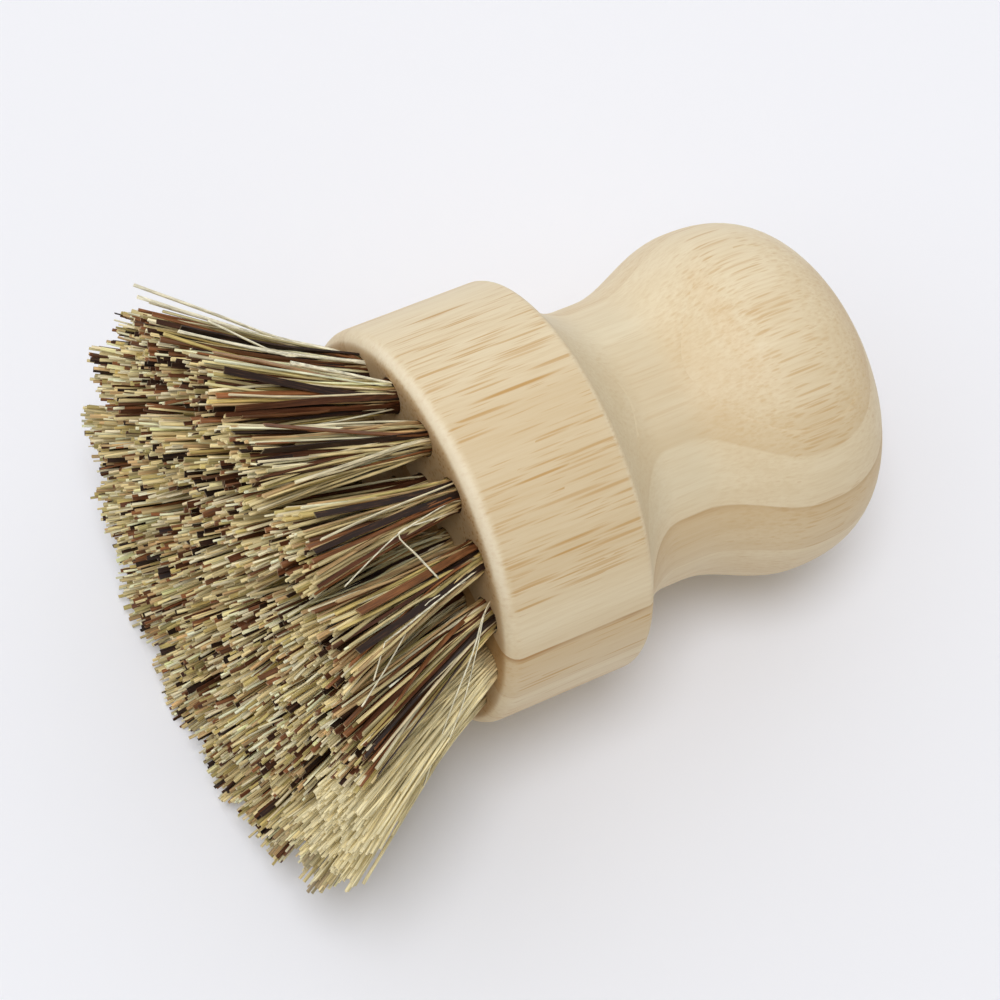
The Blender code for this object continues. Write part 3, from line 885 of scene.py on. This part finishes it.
# Broad, dark or pale strands that stand out on the outside of a tuft: tuft, place round the tuft at
# the hole and at the tip in degrees, millimetres that are broken off, kind, width in millimetres
OUTER_STRANDS = (
    ("outer_01", -20.0, 10.0, 2.6, RED_BROWN, 0.65),
    ("outer_01", -20.0, -20.0, 1.0, NEAR_BLACK, 0.95),
    ("outer_01", -40.0, -70.0, 4.0, PALE_STRAW, 0.45),
    ("outer_17", 30.0, 30.0, 3.2, NEAR_BLACK, 0.85),
    ("outer_17", -10.0, -10.0, 1.2, NEAR_BLACK, 1.0),
    ("outer_17", 30.0, 0.0, 2.4, PALE_STRAW, 0.42),
    ("outer_16", -17.0, 8.0, 2.0, NEAR_BLACK, 1.1),
    ("outer_16", 50.0, 50.0, 4.2, RED_BROWN, 0.95),
    ("outer_15", 20.0, 20.0, 0.2, NEAR_BLACK, 0.8),
    ("outer_15", 35.0, 30.0, 1.6, NEAR_BLACK, 0.6),
    ("outer_15", 90.0, 60.0, 5.6, RED_BROWN, 0.55),
    ("outer_02", -60.0, -32.0, 2.2, NEAR_BLACK, 1.1),
    ("outer_02", -55.0, -80.0, 2.4, BROWN, 1.15),
)


def strand_kind(dark):
    """Picks a kind, with the brown and dark ones' shares multiplied."""
    shares = [kind.share for kind in STRAND_KINDS]
    shares[PALE_KINDS:] = [share * dark for share in shares[PALE_KINDS:]]
    left = chance.random() * sum(shares)
    for kind, share in zip(STRAND_KINDS, shares):
        left -= share
        if left <= 0.0:
            return kind
    return STRAND_KINDS[0]


def trim_depth(tip):
    dome = TRIM_AT_MIDDLE - (TRIM_AT_MIDDLE - TRIM_AT_RIM) * (tip.length / RIM_RADIUS) ** 2
    return dome - TRIM_LEAN * tip.y / RIM_RADIUS


def disc_places(count):
    """Points spread evenly over a disc of radius 1, in a sunflower's pattern."""
    turn = math.pi * (3.0 - math.sqrt(5.0))
    start = chance.random() * math.tau
    points = []
    for i in range(count):
        radius = math.sqrt((i + 0.5) / count)
        angle = start + i * turn
        points.append(Vector((radius * math.cos(angle), radius * math.sin(angle))))
    return points


def clumps(count, radius):
    """Random places in a tuft round which the strands are alike."""
    made = []
    for _ in range(count):
        angle = chance.random() * math.tau
        distance = math.sqrt(chance.random())
        made.append(Vector((distance * math.cos(angle), distance * math.sin(angle))))
    return lambda place: max(0.0, 1.0 - min((place - middle).length for middle in made) / radius)


def random_wave(size, share=1.0):
    """Two bows to the side, for a strand to bend once and twice."""
    bows = []
    for _ in range(2):
        bow = Vector((chance.gauss(0.0, 1.0), chance.gauss(0.0, 1.0), 0.0))
        bows.append(bow * size * MM * share)
    return bows


def strand_line(place, kind, ring, axes, longer, shift):
    """Points along a strand, from inside its hole to its cut tip."""
    stray = STRAY * kind.strays
    if chance.random() < WILD_CHANCE:
        stray = WILD_STRAY
    strayed = Vector((place.x + chance.gauss(0.0, stray), place.y + chance.gauss(0.0, stray)))
    limit = OUTER_LIMIT if ring is OUTER_RING else INNER_LIMIT
    if strayed.length > limit:
        strayed *= limit / strayed.length
    if ring is OUTER_RING:
        strayed.x = min(1.0, strayed.x)
    change = shift + min(TRIM_SCATTER, longer + chance.gauss(0.0, LENGTH_SCATTER))
    broken = 0.0
    if chance.random() < BROKEN_CHANCE:
        broken = chance.uniform(*BROKEN_LENGTHS) * MM
    wave = random_wave(WAVE, kind.strays)
    return strand_curve(place, strayed, ring, axes, change, wave, broken)


def outer_line(root_turn, tip_turn, ring, axes, change):
    """Points along a strand on the outside of its tuft."""
    place = Vector((math.cos(root_turn), math.sin(root_turn))) * OUTSIDE_AT_ROOT
    tip_place = Vector((math.cos(tip_turn), math.sin(tip_turn))) * OUTSIDE_AT_TIP
    return strand_curve(place, tip_place, ring, axes, change, random_wave(OUTSIDE_WAVE))


def strand_curve(place, tip_place, ring, axes, change, wave, broken=0.0):
    """A strand from its place in the hole towards its place in the fan, cut or broken off."""
    tip_radius = ring.radius * FAN_SHARE
    spread = SPREAD_SHARE * math.pi * tip_radius / ring.count
    root_place = place * (HOLE_RADIUS * PACKED_SHARE - ROOT_MARGIN)
    root = axes.mouth + axes.across * root_place.x + axes.sideways * root_place.y
    tip = axes.outward * (tip_radius + tip_place.x * spread) + axes.sideways * tip_place.y * spread
    depth = trim_depth(tip) + change
    tip = Vector((tip.x * FAN_WIDTH_SHARE, tip.y * FAN_HEIGHT_SHARE, -depth))
    bend = root + axes.along * (-tip.z * BEND_SHARE)
    points = [root - axes.along * ROOT_DEPTH]
    for i in range(FIBRE_STEPS + 1):
        share = (1.0 - broken / depth) * i / FIBRE_STEPS
        point = root * (1.0 - share) ** 2 + bend * 2.0 * share * (1.0 - share) + tip * share**2
        bow = wave[0] * math.sin(math.pi * share)
        bow += wave[1] * (SECOND_BOW * math.sin(math.tau * share))
        points.append(point + bow)
    return points


def strand_rings(points, kind, facing, vary=0.3):
    """Four corners round each point of a strand's line. A flat strand lies flat on its tuft."""
    flat = kind.width > FLAT_WIDTH
    width = kind.width * (chance.uniform(1.0 - vary, 1.0 + vary) * MM / 2.0)
    thickness = kind.thickness * (chance.uniform(*THICKNESS_SHARES) * MM / 2.0)
    turn = math.atan2(facing.y, facing.x) + math.pi / 2.0 + chance.gauss(0.0, FLAT_TURN)
    if not flat:
        turn = chance.random() * math.pi
    twist = chance.gauss(0.0, FLAT_TWIST if flat else TWIST)
    root_size = chance.uniform(*ROOT_SIZES)
    tip_size = chance.uniform(*(FLAT_TIP_SIZES if flat else TIP_SIZES))
    rings = []
    for i, point in enumerate(points):
        ahead = points[min(i + 1, len(points) - 1)]
        behind = points[max(i - 1, 0)]
        forward = (ahead - behind).normalized()
        angle = turn + twist * i
        size = root_size + (tip_size - root_size) * i / (len(points) - 1)
        side = Vector((math.cos(angle), math.sin(angle), 0.0))
        side = (side - forward * side.dot(forward)).normalized() * width * size
        over = forward.cross(side).normalized() * thickness * size
        rings.append([point + side * a + over * b for a, b in CORNERS])
    return rings


def strand_tint(kind, cream=0.0):
    """A strand's own colour, mixed with some cream where its tuft is paler, which is partly painted
    light.
    """
    light = 1.0 + chance.gauss(0.0, kind.varies)
    light = max(LEAST_LIGHT, min(MOST_LIGHT, light))
    warm = 1.0 + chance.gauss(0.0, WARMTH_VARIES)
    shares = (warm, 1.0, 1.0 / warm)
    tint = [min(BRIGHTEST, part * light * share) for part, share in zip(kind.colour, shares)]
    return (*(part + (pale - part) * cream for part, pale in zip(tint, CREAM)), 1.0)


def tuft_mesh(lines):
    """Closed strands from (corner rings, tint, flat) values, extruded together from their roots."""
    bm = bmesh.new()
    strand_layer = bm.verts.layers.int.new("strand")
    corner_layer = bm.verts.layers.int.new("corner")
    tint_layer = bm.verts.layers.float_color.new("tint")
    along_layer = bm.verts.layers.float.new("along")
    grain_layer = bm.verts.layers.float_vector.new("grain")
    places = [Vector([chance.random() for _ in range(3)]) * GRAIN_SPREAD for _ in lines]
    tips = []
    for strand, (rings, tint, _) in enumerate(lines):
        cube = bmesh.ops.create_cube(bm, size=2.0)["verts"]
        top = []
        for vert in cube:
            corner = CORNERS.index((round(vert.co.x), round(vert.co.y)))
            level = 0 if vert.co.z < 0.0 else 1
            vert[strand_layer] = strand
            vert[corner_layer] = corner
            vert[tint_layer] = tint
            vert[along_layer] = 0.0
            set_corner(vert, rings, level, corner, places[strand], grain_layer)
            if level:
                top.append(vert)
        tips.append(next(face for face in top[0].link_faces if all(v in top for v in face.verts)))
    last = len(lines[0][0]) - 1
    for level in range(2, last + 1):
        tips = bmesh.ops.extrude_discrete_faces(bm, faces=tips)["faces"]
        for face in tips:
            for vert in face.verts:
                strand = vert[strand_layer]
                rings, corner = lines[strand][0], vert[corner_layer]
                set_corner(vert, rings, level, corner, places[strand], grain_layer)
                vert[along_layer] = (level - 1) / (last - 1)
    cut = set(tips)
    for face in bm.faces:
        face.smooth = face not in cut and not lines[face.verts[0][strand_layer]][2]
        face.material_index = 1 if face in cut else 0
    for layer in ("strand", "corner"):
        bm.verts.layers.int.remove(bm.verts.layers.int[layer])
    bmesh.ops.recalc_face_normals(bm, faces=bm.faces)
    return bm


def set_corner(vert, rings, level, corner, place, grain_layer):
    """Puts a vertex on a strand's corner, and stores its place in the strand's own grain."""
    vert.co = rings[level][corner]
    middle = sum(rings[level], Vector()) / 4.0
    reach = (vert.co - middle).length / MM
    across, over = CORNERS[corner]
    moved = Vector((across * reach, over * reach * GRAIN_FLATNESS, level * GRAIN_STEP))
    vert[grain_layer] = place + moved


def keep_above_floor(bm):
    """Strands that would go through what the brush lies on bend along it instead."""
    for vert in bm.verts:
        place = BRUSH @ vert.co
        if place.z < FLOOR_CLEARANCE:
            place.z = FLOOR_CLEARANCE
            vert.co = BRUSH.inverted() @ place


def fibre_look():
    """The materials of a fibre's sides and of its cut end."""
    sides = finish_material(
        "fibre_side", FIBRE, {"Cut end": 0.0}, bump=0.5, bump_depth=0.05 * MM, specular=0.18
    )
    ends = finish_material(
        "fibre_cut_end", FIBRE, {"Cut end": 1.0}, bump=0.3, bump_depth=0.04 * MM, specular=0.18
    )
    return [sides, ends]


def make_tufts(look):
    for name, ring, angle in tuft_places():
        axes = tuft_axes(angle, ring.radius)
        dark_clumps, long_clumps = clumps(*DARK_CLUMPS), clumps(*LONG_CLUMPS)
        dark = DARK_TUFTS.get(name, chance.uniform(*OTHER_TUFTS))
        tuft_length = chance.gauss(0.0, TUFT_LENGTH_SCATTER) - TRIM_SHORT
        shift = LONGER_TUFTS.get(name, 0.0) * MM
        lines = []
        for place in disc_places(ring.strands):
            kind = strand_kind(dark * (DARK_BETWEEN + DARK_IN_CLUMP * dark_clumps(place)))
            longer = tuft_length + (long_clumps(place) - CLUMP_MEAN) * CLUMP_LENGTH * MM
            points = strand_line(place, kind, ring, axes, longer, shift)
            facing = axes.outward * place.x + axes.sideways * place.y
            tint = strand_tint(kind, PALE_AND_PAINTED_LIGHT_TUFTS.get(name, 0.0))
            lines.append((strand_rings(points, kind, facing), tint, kind.width > FLAT_WIDTH))
        lines += outer_strands(name, ring, axes, shift)
        bm = tuft_mesh(lines)
        keep_above_floor(bm)
        new_piece(f"fibres_{name}", bm, look, [f"tuft_{name}"])


def outer_strands(name, ring, axes, shift):
    lines = []
    for tuft, root_turn, tip_turn, broken, kind, width in OUTER_STRANDS:
        if tuft != name:
            continue
        kind = kind._replace(varies=OUTSIDE_VARIES, width=width)
        root_turn, tip_turn = math.radians(root_turn), math.radians(tip_turn)
        points = outer_line(root_turn, tip_turn, ring, axes, shift - broken * MM)
        turn = (root_turn + tip_turn) / 2.0
        facing = axes.outward * math.cos(turn) + axes.sideways * math.sin(turn)
        rings = strand_rings(points, kind, facing, vary=0.0)
        lines.append((rings, strand_tint(kind), width > FLAT_WIDTH))
    return lines


def make_loose_fibres(look):
    """Single fibres across the tufts, each on a smooth curve through its points."""
    for number, (colour, width, points) in enumerate(LOOSE_FIBRES, 1):
        line = smooth_line([Vector(point) * MM for point in points])
        thickness = min(LOOSE_THICKNESS, width * LOOSE_THICKNESS_SHARE)
        kind = Kind(0.0, colour, 0.0, width, thickness, 0.0)
        rings = strand_rings(line, kind, line[-1], vary=0.0)
        bm = tuft_mesh([(rings, colour, width > FLAT_WIDTH)])
        new_piece(f"loose_fibre_{number}", bm, look)


def smooth_line(points, steps=4):
    """A curve through the points, with some steps between each two."""
    made = []
    for i in range(len(points) - 1):
        before = points[max(i - 1, 0)]
        start, end = points[i], points[i + 1]
        after = points[min(i + 2, len(points) - 1)]
        for step in range(steps):
            t = step / steps
            made.append(
                start
                + (end - before) * (t * 0.5)
                + (before * 2.0 - start * 5.0 + end * 4.0 - after) * (t * t * 0.5)
                + (start * 3.0 - before - end * 3.0 + after) * (t**3 * 0.5)
            )
    return made + [points[-1]]


def make_anchors():
    """A material for the CAD's anchors, and anchors for the tufts that have none there."""
    steel = finish_material(
        "anchor_steel", STEEL, {}, bump=0.2, bump_depth=0.01 * MM, metallic=1.0
    )
    for name, ring, angle in tuft_places():
        cad_node = frame["nodes"].get(f"anchor_{name}")
        if cad_node:
            for socket in cad_node.material_slots:
                socket.material = steel
            continue
        bm = bmesh.new()
        bmesh.ops.create_cube(bm, size=1.0)
        bmesh.ops.scale(bm, vec=ANCHOR_SIZE, verts=bm.verts)
        bmesh.ops.bevel(
            bm,
            geom=bm.edges[:] + bm.verts[:],
            offset=ANCHOR_BEVEL,
            offset_type="OFFSET",
            affect="EDGES",
            segments=2,
            profile=0.5,
            material=-1,
        )
        place = place_in_hole(tuft_axes(angle, ring.radius), ANCHOR_DEPTH)
        bmesh.ops.transform(bm, matrix=place, verts=bm.verts)
        new_piece(f"anchor_{name}", bm, [steel])


# Stage
TABLE_COLOUR = (0.89, 0.895, 0.93, 1.0)
FILL_COLOUR = (1.0, 0.945, 0.84, 1.0)
FILL_STRENGTH = 0.36
BACKDROP_COLOUR = (0.93, 0.94, 0.97, 1.0)


def make_floor():
    bm = bmesh.new()
    bmesh.ops.create_grid(bm, x_segments=1, y_segments=1, size=2.0)
    floor = new_object("floor", bm)
    made = bpy.data.materials.new("white_table")
    made.use_nodes = True
    shader = made.node_tree.nodes["Principled BSDF"]
    shader.inputs["Base Color"].default_value = TABLE_COLOUR
    shader.inputs["Roughness"].default_value = 0.7
    shader.inputs["Specular IOR Level"].default_value = 0.2
    floor.data.materials.append(made)


def make_world():
    """A plain fill light on the brush, and a white backdrop for what the camera sees."""
    world = bpy.data.worlds.new("studio")
    bpy.context.scene.world = world
    world.use_nodes = True
    tree = world.node_tree
    tree.nodes.clear()
    rays = node(tree, "ShaderNodeLightPath").outputs
    seen = maths(tree, "MAXIMUM", rays["Is Camera Ray"], rays["Is Glossy Ray"])
    seen = maths(tree, "MAXIMUM", seen, rays["Is Transmission Ray"])
    mixed = node(tree, "ShaderNodeMixShader")
    tree.links.new(seen, mixed.inputs[0])
    lights = ((FILL_COLOUR, FILL_STRENGTH), (BACKDROP_COLOUR, 1.0))
    for place, (colour, strength) in enumerate(lights, 1):
        light = node(tree, "ShaderNodeBackground")
        light.inputs["Color"].default_value = colour
        light.inputs["Strength"].default_value = strength
        tree.links.new(light.outputs[0], mixed.inputs[place])
    tree.links.new(mixed.outputs[0], node(tree, "ShaderNodeOutputWorld").inputs[0])


# Camera and lights. The camera is placed from the middle of the head's face, and its own directions
# are given in the brush's frame.
CAMERA_RIGHT = Vector((-0.4473, 0.2131, 0.8687))
CAMERA_UP = Vector((0.8583, 0.3752, 0.3500))
CAMERA_BACK = Vector((-0.2514, 0.9021, -0.3507))
CAMERA_OFFSET = (11.4 * MM, 3.81 * MM, 400.0 * MM)
LENS_SHARE = 3.3597
SENSOR = 36.0

# Lamps: name, strength, how wide it looks, where it stands, colour
LIGHTS = (
    ("overhead", 1.2, math.radians(24.0), (-0.12, -0.02, 1.0), (0.97, 1.0, 1.07)),
    ("broad", 1.0, math.radians(100.0), (-0.3, 0.5, 1.0), (0.97, 1.0, 1.07)),
)


def make_camera():
    data = bpy.data.cameras.new("camera")
    data.sensor_width = SENSOR
    data.lens = LENS_SHARE * SENSOR
    data.clip_start = 0.01
    data.clip_end = 20.0
    camera = linked("camera", data)
    axes = [axis.normalized() for axis in (CAMERA_RIGHT, CAMERA_UP, CAMERA_BACK)]
    turn = Matrix(axes).transposed()
    place = turn @ Vector(CAMERA_OFFSET)
    camera.matrix_world = BRUSH @ Matrix.Translation(place) @ turn.to_4x4()
    bpy.context.scene.camera = camera


def make_lights():
    """A small lamp straight above for the shadow at the brush's foot, and a broad soft one over its
    top side."""
    for name, strength, angle, come_from, colour in LIGHTS:
        data = bpy.data.lights.new(name, "SUN")
        data.angle = angle
        data.energy = strength
        data.color = colour
        lamp = linked(name, data)
        lamp.rotation_euler = (-Vector(come_from)).to_track_quat("-Z", "Y").to_euler()


make_camera()
make_boards()
fibre_materials = fibre_look()
make_tufts(fibre_materials)
make_loose_fibres(fibre_materials)
make_anchors()
make_floor()
make_world()
make_lights()
bpy.context.scene.view_settings.view_transform = "Standard"
